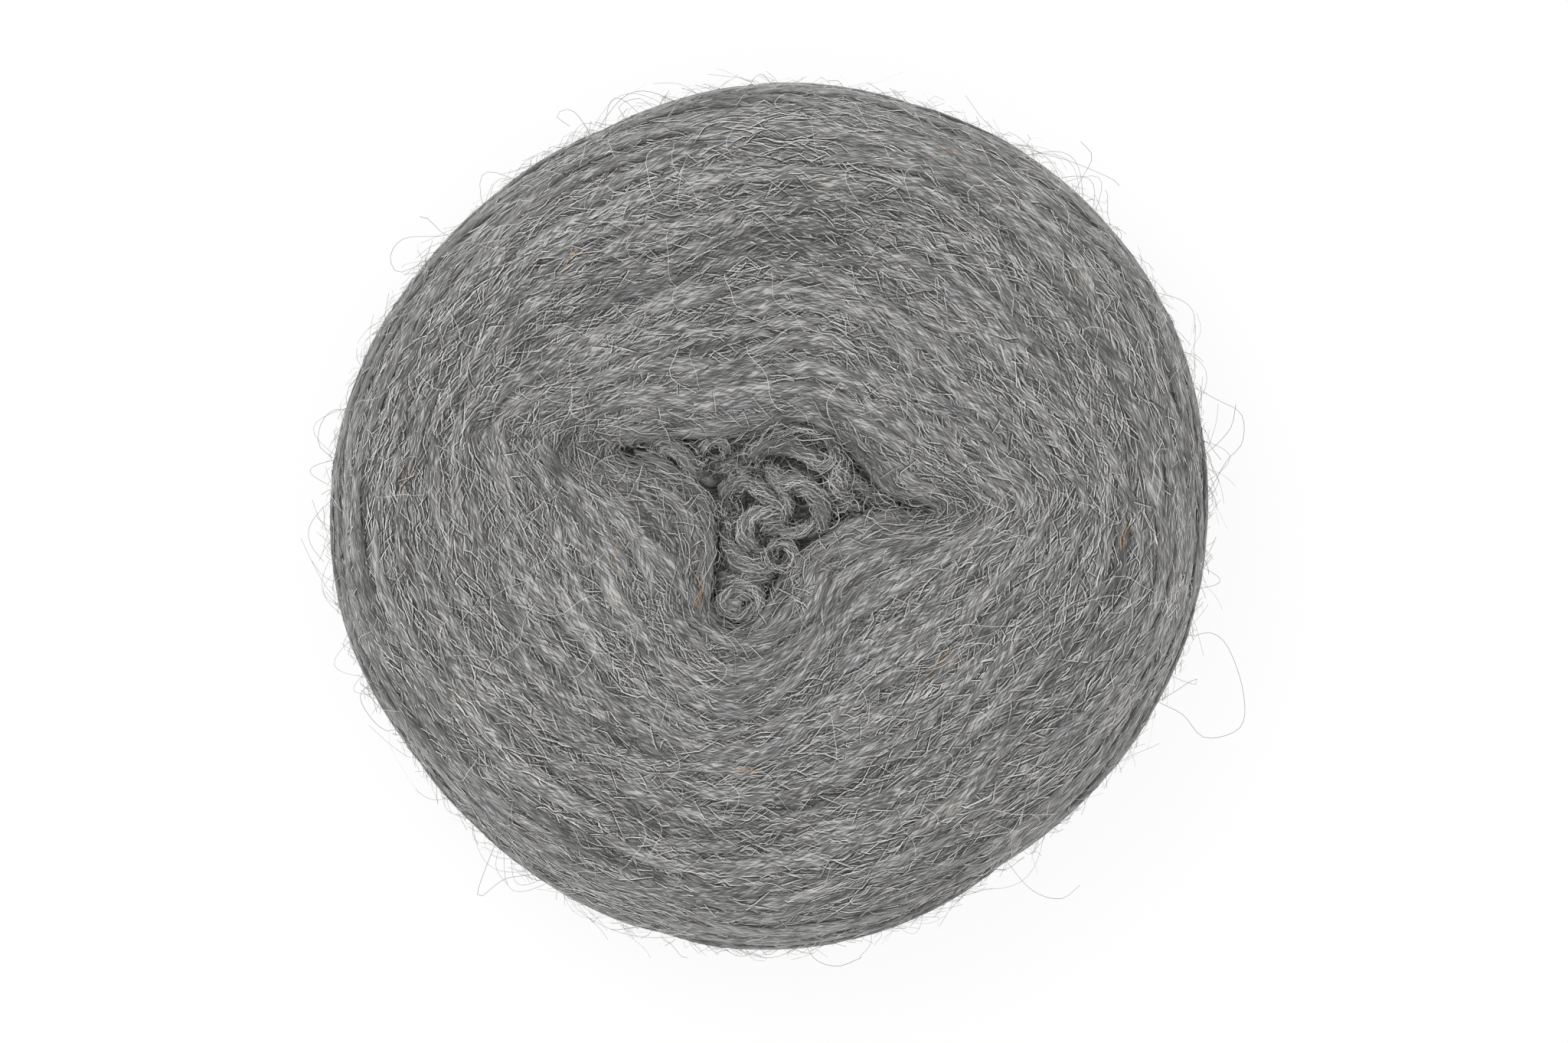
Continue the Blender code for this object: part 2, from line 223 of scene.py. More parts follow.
# How far apart the turns are at a place, against the mean, and millimetres to a degree round
SPREAD = np.linalg.norm(tangent_out, axis=2) / np.gradient(LAY)[:, None]
ROUND = np.linalg.norm(tangent_round, axis=2) * BEARINGS / 360.0


def between(grid, row, col):
    """A grid's value between its points."""
    row = np.clip(row, 0, len(grid) - 1.001)
    r0, c0 = row.astype(int), col.astype(int) % grid.shape[1]
    fr, fc = row - r0, col - col.astype(int)
    c1 = (c0 + 1) % grid.shape[1]
    if grid.ndim == 3:
        fr, fc = fr[..., None], fc[..., None]
    low = grid[r0, c0] * (1 - fc) + grid[r0, c1] * fc
    high = grid[r0 + 1, c0] * (1 - fc) + grid[r0 + 1, c1] * fc
    return low * (1 - fr) + high * fr


def sample(grid, bearing, lay):
    """The value of a grid like GRID at bearings and lays."""
    return between(grid, np.interp(lay, LAY, np.arange(len(LAY))),
                   np.mod(bearing, 360.0) * BEARINGS / 360.0)


def unit(v):
    return v / np.maximum(np.linalg.norm(v, axis=-1, keepdims=True), 1e-9)


def pairs(first, second):
    """Two arrays side by side, as the coordinates of a UV map are."""
    return np.stack(np.broadcast_arrays(first, second), axis=-1)


# Materials
def set_inputs(node, **inputs):
    for name, value in inputs.items():
        node.inputs[name.replace("_", " ")].default_value = value
    return node


def wool(name, dark, mid, light, contrast=1.0, bump=0.5):
    """Matt wool: fine crimped hairs, light and dark, that lie a little across each other.
    They follow the UV map `lay`, and the attribute `tone` lightens or darkens them."""
    material = bpy.data.materials.new(name)
    material.use_nodes = True
    tree = material.node_tree
    link = tree.links.new
    shader = set_inputs(tree.nodes["Principled BSDF"], Roughness=0.95, Specular_IOR_Level=0.1,
                        Sheen_Weight=0.2, Sheen_Roughness=0.5)

    def fed(kind, source, **inputs):
        node = set_inputs(tree.nodes.new("ShaderNode" + kind), **inputs)
        link(source, node.inputs["Vector"])
        return node.outputs

    def ramp(source, places, colours):
        node = tree.nodes.new("ShaderNodeValToRGB")
        for end, place, colour in zip(node.color_ramp.elements, places, colours):
            end.position, end.color = place, (*colour, 1.0)
        link(source, node.inputs["Fac"])
        return node

    def maths(kind, first, second):
        node = tree.nodes.new("ShaderNodeMath")
        node.operation = kind
        for socket, value in zip(node.inputs, (first, second)):
            if isinstance(value, float):
                socket.default_value = value
            else:
                link(value, socket)
        return node.outputs["Value"]

    lay = tree.nodes.new("ShaderNodeUVMap")
    lay.uv_map = "lay"
    crimp_at = fed("Mapping", lay.outputs["UV"], Scale=(0.3, 0.4, 1.0))
    crimp = fed("TexNoise", crimp_at["Vector"], Scale=1.0, Detail=2.0, Roughness=0.55)
    crimp_size = tree.nodes.new("ShaderNodeVectorMath")
    crimp_size.operation = "SCALE"
    crimp_size.inputs["Scale"].default_value = 0.6
    link(crimp["Color"], crimp_size.inputs["Vector"])
    crimped = tree.nodes.new("ShaderNodeVectorMath")
    crimped.operation = "ADD"
    link(lay.outputs["UV"], crimped.inputs[0])
    link(crimp_size.outputs["Vector"], crimped.inputs[1])

    total = None
    for degrees, across, size in HAIR_LAYERS:
        turned = fed("Mapping", crimped.outputs["Vector"],
                     Rotation=(0.0, 0.0, math.radians(degrees)))
        at = fed("Mapping", turned["Vector"], Scale=(0.32, across, 1.0),
                 Location=(across * 7.0, degrees * 0.37, 0.0))
        hair = fed("TexNoise", at["Vector"], Scale=1.0, Detail=0.5, Roughness=0.5)
        line = set_inputs(tree.nodes.new("ShaderNodeMapRange"), From_Min=0.36, From_Max=0.64,
                          To_Min=-size * contrast, To_Max=size * contrast)
        line.interpolation_type = "SMOOTHSTEP"
        link(hair["Fac"], line.inputs["Value"])
        total = line.outputs["Result"] if total is None else maths(
            "ADD", total, line.outputs["Result"])
    patch = fed("TexNoise", crimped.outputs["Vector"], Scale=0.35, Detail=3.0, Roughness=0.7)
    shade = maths("MULTIPLY", maths("SUBTRACT", patch["Fac"], 0.5), 0.08)
    tone = tree.nodes.new("ShaderNodeAttribute")
    tone.attribute_name = "tone"
    level = maths("ADD", maths("ADD", total, shade), maths("ADD", tone.outputs["Fac"], 0.5))
    grey = ramp(level, (0.0, 1.0), (dark, light))
    grey.color_ramp.elements.new(0.5).color = (*mid, 1.0)
    tint_at = fed("Mapping", lay.outputs["UV"], Scale=(0.11, 0.5, 1.0))
    tint = fed("TexNoise", tint_at["Vector"], Scale=1.0, Detail=1.0)
    hue = ramp(tint["Fac"], (0.35, 0.65), ((0.985, 1.0, 1.02), (1.015, 1.0, 0.975)))
    tinted = tree.nodes.new("ShaderNodeMix")
    tinted.data_type = "RGBA"
    tinted.blend_type = "MULTIPLY"
    tinted.inputs["Factor"].default_value = 1.0
    link(grey.outputs["Color"], tinted.inputs["A"])
    link(hue.outputs["Color"], tinted.inputs["B"])
    link(tinted.outputs["Result"], shader.inputs["Base Color"])
    relief = set_inputs(tree.nodes.new("ShaderNodeBump"), Strength=bump, Distance=0.00025)
    link(total, relief.inputs["Height"])
    link(relief.outputs["Normal"], shader.inputs["Normal"])
    return material


# How the hairs on a strand lie: degrees off its lay, how fine, and how strong
HAIR_LAYERS = ((-21.0, 3.0, 0.18), (-3.0, 3.3, 0.19), (17.0, 3.1, 0.18))
GREY = {"dark": (0.06, 0.06, 0.059), "mid": (0.17, 0.169, 0.166), "light": (0.44, 0.436, 0.427)}
CORE_WOOL = wool("core_wool", (0.06, 0.06, 0.059), (0.165, 0.164, 0.161), (0.46, 0.456, 0.445))
STRAND_WOOL = wool("strand_wool", **GREY)
CURL_WOOL = wool("curl_wool", **GREY)
FIBRE_WOOL = wool("fibre_wool", (0.034, 0.034, 0.033), (0.168, 0.167, 0.163), (0.78, 0.775, 0.76),
                  contrast=0.15, bump=0.0)
TAN_WOOL = wool("tan_wool", (0.16, 0.085, 0.04), (0.40, 0.23, 0.11), (0.60, 0.42, 0.25),
                contrast=0.3, bump=0.0)


def add_object(name, data):
    thing = bpy.data.objects.new(name, data)
    bpy.context.scene.collection.objects.link(thing)
    return thing


# Meshes
def mesh_piece(name, points, faces4, faces3, material, lay, tone):
    """A closed mesh from arrays of points in millimetres, quads and triangles."""
    mesh = bpy.data.meshes.new(name)
    mesh.vertices.add(len(points))
    mesh.vertices.foreach_set("co", (points * MM).ravel())
    corners = np.concatenate([faces4.ravel(), faces3.ravel()])
    mesh.loops.add(len(corners))
    mesh.loops.foreach_set("vertex_index", corners.astype(np.int32))
    starts = np.append(np.arange(len(faces4)) * 4, len(faces4) * 4 + np.arange(len(faces3)) * 3)
    mesh.polygons.add(len(starts))
    mesh.polygons.foreach_set("loop_start", starts.astype(np.int32))
    mesh.polygons.foreach_set("use_smooth", np.ones(len(starts), bool))
    uv = mesh.uv_layers.new(name="lay")
    uv.data.foreach_set("uv", lay[corners].ravel().astype(np.float32))
    attribute = mesh.attributes.new("tone", "FLOAT", "POINT")
    attribute.data.foreach_set("value", tone.astype(np.float32))
    mesh.update()
    mesh.validate()
    mesh.materials.append(material)
    piece = add_object(name, mesh)
    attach(piece, "root")
    return piece


def tube_arrays(rings, lay, tone):
    """Closed tubes from an array of rings: tube, place along it, corner, xyz."""
    count, places, sides = rings.shape[:3]
    index = np.arange(count * places * sides).reshape(count, places, sides)
    here, there = index[:, :-1], index[:, 1:]
    quads = np.stack([here, np.roll(here, -1, axis=2), np.roll(there, -1, axis=2), there], axis=-1)
    caps = []
    for n in range(1, sides - 1):
        first, last = index[:, 0], index[:, -1]
        caps.append(np.stack([first[:, 0], first[:, n + 1], first[:, n]], axis=-1))
        caps.append(np.stack([last[:, 0], last[:, n], last[:, n + 1]], axis=-1))
    return (
        rings.reshape(-1, 3), quads.reshape(-1, 4), np.concatenate(caps),
        lay.reshape(-1, 2), np.broadcast_to(tone, rings.shape[:3]).reshape(-1),
    )


def join_tubes(name, parts, material):
    """One piece from several results of tube_arrays."""
    first = np.cumsum([0] + [len(part[0]) for part in parts])
    points, quads, tris, lays, tones = (np.concatenate(arrays) for arrays in zip(*(
        (part[0], part[1] + start, part[2] + start, part[3], part[4])
        for part, start in zip(parts, first))))
    return mesh_piece(name, points, quads, tris, material, lays, tones)


def tube_rings(centre, side, up, half_width, half_height, sides):
    """Rings of an oval section round lines of centres."""
    angle = np.arange(sides) * 2 * math.pi / sides
    across = np.cos(angle)[:, None] * half_width[..., None, None]
    above = np.sin(angle)[:, None] * half_height[..., None, None]
    return centre[..., None, :] + side[..., None, :] * across + up[..., None, :] * above


def core_piece():
    """The closed body of wool under the strands, a little inside the surface."""
    columns = np.linspace(0, BEARINGS, 181).astype(int)[:-1]
    surface = GRID[::3, columns] - NORMAL[::3, columns] * 0.55
    surface[..., 2] = np.maximum(surface[..., 2], 0.6)
    lay = pairs(columns[None, :] * 360.0 / BEARINGS * 1.1, LAY[::3, None])
    return join_tubes("wound_core", [tube_arrays(surface[None], lay[None], 0.0)], CORE_WOOL)


# Grids that are finer than GRID, by bearing and by lay
RELIEF_BEARINGS, RELIEF_STEP = 1440, 0.3


def relief_at(relief, bearing, lay):
    """The value of a finer grid at bearings and lays."""
    return between(relief, lay / RELIEF_STEP, np.mod(bearing, 360.0) * RELIEF_BEARINGS / 360.0)


def tone_and_gap_shade_grid():
    """How much lighter or darker the turns are along their length, at random, with dark lanes of
    painted shade that stand for the shaded gaps between turns.
    """
    noise = rng.normal(0, 1, (int(END_LAY / RELIEF_STEP) + 2, RELIEF_BEARINGS))
    across = np.exp(-((np.fft.fftfreq(noise.shape[0]) * 7.5) ** 2))
    along = np.exp(-((np.fft.fftfreq(RELIEF_BEARINGS) * 240.0) ** 2))
    soft = np.fft.ifft2(np.fft.fft2(noise) * across[:, None] * along).real
    soft = soft / soft.std()
    # random tone, less dark lanes of painted shade for the gaps between turns
    return 0.04 * soft - 0.16 * np.clip(-soft - 0.9, 0.0, 1.2)


TONE_AND_GAP_SHADE = tone_and_gap_shade_grid()


# Strands of roving
STRANDS = []
WANDER = 0.2  # how far a strand strays from its turn
SINK = 0.2  # how far its middle lies under the surface


def strand(bearing, lay, tone, sides, lift, taper, width=1.7, height=0.68):
    """One strand along arrays of bearings and lays. Its ends thin out and dip under others."""
    phase = rng.uniform(0, 6.28, 3)
    along = np.linspace(0, 1, len(bearing))
    lay = lay + WANDER * (
        np.sin(along * rng.uniform(6, 16) + phase[0]) + 0.6 * np.sin(along * 37 + phase[1]))
    centre = sample(GRID, bearing, lay)
    up = unit(sample(NORMAL, bearing, lay))
    spread = np.clip(sample(SPREAD, bearing, lay), 0.62, 1.2)
    length = np.append(0, np.cumsum(np.linalg.norm(np.diff(centre, axis=0), axis=1)))
    ends = ease(np.minimum(length, length[-1] - length) / taper)
    forward = unit(np.gradient(centre, axis=0))
    side = unit(np.cross(up, forward))
    lumps = 1 + 0.10 * np.sin(length / rng.uniform(5, 9) + phase[2]) + 0.05 * np.sin(length / 2.3)
    half_width = width * spread * lumps * (0.25 + 0.75 * ends)
    half_height = height * (0.6 + 0.4 * spread) * (0.3 + 0.7 * ends)
    half_height = half_height * (1.0 - 0.6 * crossing(bearing, lay))
    swell = 0.10 * np.sin(length / rng.uniform(6, 11) + phase[1])
    raised = (lift + swell) * ends - SINK - 1.3 * (1 - ends)
    centre = centre + up * raised[:, None]
    low = centre[:, 2] - half_height - 0.02
    centre[:, 2] += np.maximum(0.0, 0.05 - low)
    rings = tube_rings(centre, side, up, half_width, half_height, sides)
    rings[..., 2] = np.maximum(rings[..., 2], 0.02)
    STRANDS.append({
        "rings": rings, "length": length, "lay": float(np.median(lay)),
        # the strand's own tone, with the turns' random tone and painted gap shade
        "tone": tone + relief_at(TONE_AND_GAP_SHADE, bearing, lay),
        "at": np.stack([bearing, lay, raised, half_width / spread, half_height], axis=1),
    })


# How far the turns slant off the rings at the shoulder: bearing, degrees
SHOULDER_SLANT = (
    (0, -12), (15, -26), (30, 12), (45, 2), (75, -8), (105, -3), (150, 3), (180, 4), (200, -8),
    (225, 1), (270, 1), (285, 7), (300, 13), (330, 16), (345, 9), (360, -12),
)
# Places on the top where they slant: bearing, turn, degrees
TOP_SLANT = (
    (15, 3.0, 12), (48, 1.6, 12), (28, 1.6, -9), (165, 1.3, -10), (280, 0.3, 13), (8, 0.3, -14),
    (300, 0.9, -10), (92, 3.0, -9), (358, 2.2, -11), (330, 3.0, -9), (105, 3.0, 9), (40, 0.3, -9),
)
# The slot's corners, where turns from both sides cross: bearing, slant, first turn, last turn
CORNERS = ((1.5, 27.0, 0.8, 3.4), (160.0, 24.0, 0.3, 2.4))
TURN_LAY = (SHOULDER_LAY - LIP_LAY) / 4.0


def flow(bearing, lay):
    """How far the turns slant off the rings at a place, in degrees."""
    table = np.array(SHOULDER_SLANT, float)
    near = np.exp(-(((lay - SHOULDER_LAY - 2.0) / 13.0) ** 2))
    slant = np.interp(np.mod(bearing, 360.0), table[:, 0], table[:, 1]) * near
    for centre, turn, degrees in TOP_SLANT:
        off = off_bearing(bearing, centre) / 9.0
        out = (lay - LIP_LAY - turn * TURN_LAY) / 8.0
        slant = slant + degrees * np.exp(-off * off - out * out)
    for centre, degrees, first, last in CORNERS:
        off = off_bearing(bearing, centre)
        turns = (lay - LIP_LAY) / TURN_LAY
        near = ease((turns - first) / 0.7) * ease((last - turns) / 0.4)
        slant = slant - degrees * np.clip(off / 2.5, -1, 1) * np.exp(-((off / 14.0) ** 2)) * near
    turn = np.radians(bearing)
    slant = slant + 3.0 * np.sin(5 * turn + lay / 6.0) + 2.5 * np.sin(9 * turn - lay / 9.0 + 1.0)
    return slant + 2.5 * np.sin(14 * turn + lay / 4.5 + 2.0)


def crossing(bearing, lay):
    """1 at the slot's corners, where turns cross, and 0 away from them."""
    near = sum(np.exp(-((off_bearing(bearing, corner[0]) / 11.0) ** 2)) for corner in CORNERS)
    return near * np.clip((LIP_LAY + 30.0 - lay) / 12.0, 0.0, 1.0)


def trace(bearing, lay, way, step, places):
    """Lines on the surface from starting places. `way` gives the heading off the rings."""
    bearings, lays = [bearing], [lay]
    for n in range(places - 1):
        heading = np.radians(flow(bearing, lay)) + way(n)
        bearing = bearing + np.cos(heading) * step / np.maximum(sample(ROUND, bearing, lay), 0.15)
        lay = lay + np.sin(heading) * step / np.maximum(sample(SPREAD, bearing, lay), 0.5)
        lay = np.clip(lay, 0.5, END_LAY - 0.5)
        bearings.append(bearing)
        lays.append(lay)
    return np.stack(bearings, axis=-1), np.stack(lays, axis=-1)


def wind_turns(first, last, pitch, length, step, lean, cover, sides=8, **size):
    """Overlapping lengths of roving round the cake, from one lay to another."""
    for lay in np.arange(first, last, pitch):
        ring = sample(GRID, np.arange(0, 360, 5.0), np.full(72, lay))
        girth = np.linalg.norm(np.diff(ring, axis=0), axis=1).sum()
        count = max(1, round(girth * cover / np.mean(length)))
        for n in range(count):
            span = min(rng.uniform(*length), girth * 0.9)
            places = int(span / step) + 2
            own = math.radians(rng.normal(0, lean))
            begin = rng.uniform(-0.4, 0.4) + n
            bearing, at = trace(
                np.array([begin * 360.0 / count]), np.array([lay + rng.uniform(-0.6, 0.6)]),
                lambda _: own, step, places)
            strand(bearing[0], at[0], tone=rng.normal(0, 0.03), sides=sides,
                   lift=rng.normal(0, 0.12), taper=span * 0.4, **size)


wind_turns(2.0, LIP_LAY - 1.0, 2.0, (15, 35), 2.2, 6, 1.25, width=1.5, height=0.7)
wind_turns(LIP_LAY - 1.0, SHOULDER_LAY, 1.9, (18, 50), 2.5, 7, 1.25, sides=6)
wind_turns(SHOULDER_LAY, SHOULDER_LAY + 36, 2.5, (40, 90), 4.0, 6, 1.2, sides=6)
wind_turns(SHOULDER_LAY + 36, BASE_LAY - 6.0, 3.2, (90, 160), 5.0, 6, 1.15, sides=6, width=2.4)
wind_turns(BASE_LAY - 6.0, END_LAY - 4.0, 4.4, (90, 160), 6.0, 3, 1.15, sides=6, width=3.0)


def strand_pieces():
    groups = {
        "slot_strands": (-1, LIP_LAY - 1.0), "top_strands": (LIP_LAY - 1.0, SHOULDER_LAY - 4),
        "side_strands": (SHOULDER_LAY - 4, BASE_LAY - 6.0), "base_strands": (BASE_LAY - 6.0, 1e9),
    }
    for name, (low, high) in groups.items():
        parts = []
        for item in STRANDS:
            if low <= item["lay"] < high:
                rings, length = item["rings"], item["length"][:, None]
                girth = np.arange(rings.shape[1]) / rings.shape[1] * 11.0
                offset = rng.uniform(0, 500, 2)
                lay = pairs(length + offset[0], girth[None] + offset[1] + length * 0.12)
                parts.append(tube_arrays(rings[None], lay[None], item["tone"][None, :, None]))
        join_tubes(name, parts, STRAND_WOOL)


def relief_grid():
    """How high the strands stand over the surface, smoothed as the fibres bridge them."""
    count = int(END_LAY / RELIEF_STEP) + 2
    relief = np.full((count, RELIEF_BEARINGS), -0.5)
    across = np.linspace(-1, 1, 15)
    for item in STRANDS:
        fine = np.linspace(0, len(item["at"]) - 1, len(item["at"]) * 6)
        at = np.stack([np.interp(fine, np.arange(len(item["at"])), item["at"][:, k])
                       for k in range(5)], axis=1)
        row = ((at[:, 1:2] + across * at[:, 3:4]) / RELIEF_STEP).round().astype(int)
        col = (at[:, 0:1] * RELIEF_BEARINGS / 360.0).round().astype(int) + 0 * row
        top = at[:, 2:3] + at[:, 4:5] * np.sqrt(1 - across**2)
        row = np.clip(row, 0, count - 1)
        np.maximum.at(relief, (row, col % RELIEF_BEARINGS), top)
    for _ in range(3):
        relief = (relief + np.roll(relief, 1, 1) + np.roll(relief, -1, 1)) / 3
        padded = np.pad(relief, ((1, 1), (0, 0)), mode="edge")
        relief = (padded[:-2] + padded[1:-1] + padded[2:]) / 3
    return relief


# Tones of single fibres, and how many there are of each
TONES, TONE_SHARES = (-0.75, -0.15, 0.3, 0.95), (0.30, 0.26, 0.24, 0.20)


def fibres(name, count, low, high, half=0.075, length=(4.0, 12.0), places=3, spread=19.0,
           lift=(0.02, 0.3), apart=0.3):
    """Fine fibres that follow the turns, give or take `spread` degrees. Each has a twin of the
    opposite tone `apart` millimetres beside it, so a light one and a dark one lie side by side;
    the dark twin of a light fibre is a painted shadow of it."""
    count = count // 2
    lay_pool = rng.uniform(low, high, count * 4)
    bearing_pool = rng.uniform(0, 360, count * 4)
    area = sample(ROUND, bearing_pool, lay_pool) * sample(SPREAD, bearing_pool, lay_pool)
    kept = rng.choice(count * 4, count, replace=False, p=area / area.sum())
    span = rng.uniform(*length, count)
    step = span / (places - 1)
    crossed = crossing(bearing_pool[kept], lay_pool[kept])
    heading = np.radians(rng.normal(0, spread, count)) * (1.0 + 0.9 * crossed)
    bend = np.radians(rng.normal(0, 24, count))

    def way(n):
        return heading + bend * (2.0 * (n + 0.5) / (places - 1) - 1.0)

    bearings, lays = trace(bearing_pool[kept], lay_pool[kept], way, step, places)
    along = np.linspace(0, 1, places)
    up = unit(sample(NORMAL, bearings, lays))
    arch = np.sin(along * math.pi) ** 0.6
    raised = rng.uniform(*lift, count)[:, None] * arch - 0.10 * (1 - arch)
    height = relief_at(RELIEF, bearings, lays) + raised
    points = sample(GRID, bearings, lays) + up * height[..., None]
    points[..., 2] = np.maximum(points[..., 2], 0.2)
    forward = unit(np.gradient(points, axis=1))
    out = unit(up - forward * (up * forward).sum(-1, keepdims=True))
    flank = np.cross(out, forward)
    thick = half * rng.uniform(0.6, 1.4, count)[:, None] * (
        0.4 + 0.6 * np.minimum(1, np.minimum(along, 1 - along) * 5 + 0.1))
    # each twin takes the opposite tone; beside a light fibre it is a dark painted shadow
    twin = points + flank * (apart * rng.choice((-1, 1), count))[:, None, None]
    rings = np.concatenate([tube_rings(points, flank, out, thick, thick, 3),
                            tube_rings(twin, flank, out, thick, thick, 3)])
    tone = rng.choice(TONES, count, p=TONE_SHARES) + rng.normal(0, 0.10, count)
    # the turns' random tone and painted gap shade, the same for both twins
    tone_and_gap_shade = relief_at(TONE_AND_GAP_SHADE, bearings[:, 1], lays[:, 1])
    tone = np.concatenate([tone + tone_and_gap_shade, -0.8 * tone + tone_and_gap_shade])[:, None, None]
    span = np.concatenate([span, span])
    lay = pairs((along * span[:, None])[..., None] + rng.uniform(0, 400, 2 * count)[:, None, None],
                np.arange(3) * 0.12 + rng.uniform(0, 400, 2 * count)[:, None, None])
    join_tubes(name, [tube_arrays(rings, lay, tone)], FIBRE_WOOL)


# Curves and round tubes
def smooth_line(points, spacing):
    """Points at an even spacing along a smooth curve through the given points."""
    knots = np.array(points, float)
    padded = np.vstack([2 * knots[0] - knots[1], knots, 2 * knots[-1] - knots[-2]])
    fine = []
    for before, start, end, after in zip(padded, padded[1:], padded[2:], padded[3:]):
        for t in np.arange(0.0, 1.0, 0.05):
            fine.append(0.5 * (2 * start + (end - before) * t
                               + (2 * before - 5 * start + 4 * end - after) * t**2
                               + (3 * start - before - 3 * end + after) * t**3))
    fine = np.array([*fine, knots[-1]])
    along = np.append(0.0, np.cumsum(np.linalg.norm(np.diff(fine, axis=0), axis=1)))
    at = np.linspace(0.0, along[-1], round(along[-1] / spacing) + 1)
    return np.stack([np.interp(at, along, fine[:, k]) for k in range(3)], axis=1)


def route_frames(line):
    """The directions up and to the side all along a line, with no twist of their own."""
    forward = unit(np.gradient(line, axis=0))
    up = [unit(np.cross(forward[0], np.array([0.31, 0.77, 0.55])))]
    for f in forward[1:]:
        up.append(unit(up[-1] - f * np.dot(up[-1], f)))
    up = np.array(up)
    return up, np.cross(up, forward)


def line_part(points, half, sides, tone, twist=0.0, lumps=0.0):
    """A round tube along a line of points. Its lumps wind round it by `twist`."""
    up, side = route_frames(points)
    length = np.append(0, np.cumsum(np.linalg.norm(np.diff(points, axis=0), axis=1)))
    half = np.broadcast_to(half, (len(points),))
    angle = np.arange(sides) * 2 * math.pi / sides
    radius = half[:, None] * (1 + lumps * np.cos(2 * angle[None] + length[:, None] * twist))
    rings = (points[:, None] + side[:, None] * (np.cos(angle) * radius)[..., None]
             + up[:, None] * (np.sin(angle) * radius)[..., None])
    lay = pairs(length[:, None] + rng.uniform(0, 300),
                angle[None] * half.mean() + length[:, None] * 0.35 + rng.uniform(0, 300))
    return tube_arrays(rings[None], lay[None], tone)


# The inner end of the roving, as in the solid: x, y, z
END_DIAMETER = 3.4
END_ROUTE = (
    (-22.2, 13.4, 49.4), (-20.3, 14, 50), (-18.2, 12.6, 50.2), (-16.2, 10.8, 49.4),
    (-14, 9.2, 47.6), (-12.4, 7.4, 45.2), (-10.8, 8.8, 44.4), (-9.4, 11, 45.2),
    (-7.2, 11.6, 46.4), (-3.6, 12.8, 48), (0.2, 14, 49.4), (3.9, 14, 50),
    (7.6, 12.6, 50.2), (10.8, 10.8, 49.8), (13.4, 11, 48.2), (13.6, 9, 45.6),
    (10.8, 7.4, 44.4), (6.8, 8.4, 44.4), (2.8, 9.8, 45.4), (0.4, 9.4, 48),
    (2.2, 7.2, 50), (6, 6.4, 50.4), (9.2, 4, 50.4), (10.8, 0.6, 50),
    (9.4, -2.2, 48.6), (6, -3.4, 47.6), (2.4, -2.8, 46.2), (-1, -1.4, 44.6),
    (-4.4, 0.4, 44.4), (-7.6, 2.8, 44.8), (-8.6, 5.4, 46.6), (-6.4, 7, 48.6),
    (-3.4, 6.2, 49.6), (0, 4, 49.8), (2.8, 1.8, 49.2), (1.4, -0.4, 49.8),
    (-1.6, 0.2, 50.4), (-4.4, -1.2, 50.4), (-5, -3.9, 50.2), (-3.2, -6.5, 49),
    (-0.5, -8, 47.6), (1.5, -7, 45.6), (-0.7, -5.6, 44.3), (-4.1, -5.8, 44.4),
    (-7.3, -5, 46.2), (-7.7, -7, 48.4), (-6.6, -9.8, 49.8), (-3.8, -10.7, 50.3),
    (-1.2, -11.2, 49.6), (-0.3, -12.2, 47.2), (-2.2, -13, 44.8), (-5.2, -12.2, 44.4),
    (-8.2, -12, 45.8), (-8.4, -13.6, 48), (-5.8, -14.5, 49.1), (-3, -15, 49),
    (-3.2, -17.3, 47.6), (-4.7, -19.2, 46.6), (-7.6, -19.8, 46.8), (-9.4, -17.6, 48.4),
    (-7.4, -17.8, 50.8), (-5.6, -18.2, 51.4),
)


def inner_end_piece():
    """The loose inner end, a limp cord whose own length is along its middle."""
    line = smooth_line(END_ROUTE, 0.8)
    part = line_part(line, END_DIAMETER / 2, 12, 0.0, twist=0.9, lumps=0.10)
    piece = join_tubes("inner_end_wool", [part], CURL_WOOL)
    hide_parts("inner_end")


core = core_piece()
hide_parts("wound_roving")
strand_pieces()
inner_end_piece()
RELIEF = relief_grid()
fibres("slot_fibres", 2600, 2.0, LIP_LAY - 1.0, spread=24.0, lift=(0.0, 0.6))
fibres("lip_wisps", 900, LIP_LAY - 11.0, LIP_LAY - 0.5, half=0.055, length=(4.0, 10.0), places=4,
       spread=42.0, lift=(0.3, 2.2))
fibres("top_fibres_inner", 8000, LIP_LAY - 1.0, LIP_LAY + 19.0, spread=20.0, lift=(0.0, 0.4))
fibres("top_fibres_middle", 8000, LIP_LAY + 19.0, LIP_LAY + 34.0)
fibres("top_fibres_outer", 10700, LIP_LAY + 34.0, SHOULDER_LAY + 2.0)
fibres("shoulder_fibres", 10000, SHOULDER_LAY + 2.0, SHOULDER_LAY + 34.0)
fibres("side_fibres", 1800, SHOULDER_LAY + 34.0, BASE_LAY - 4.0, length=(6.0, 16.0))


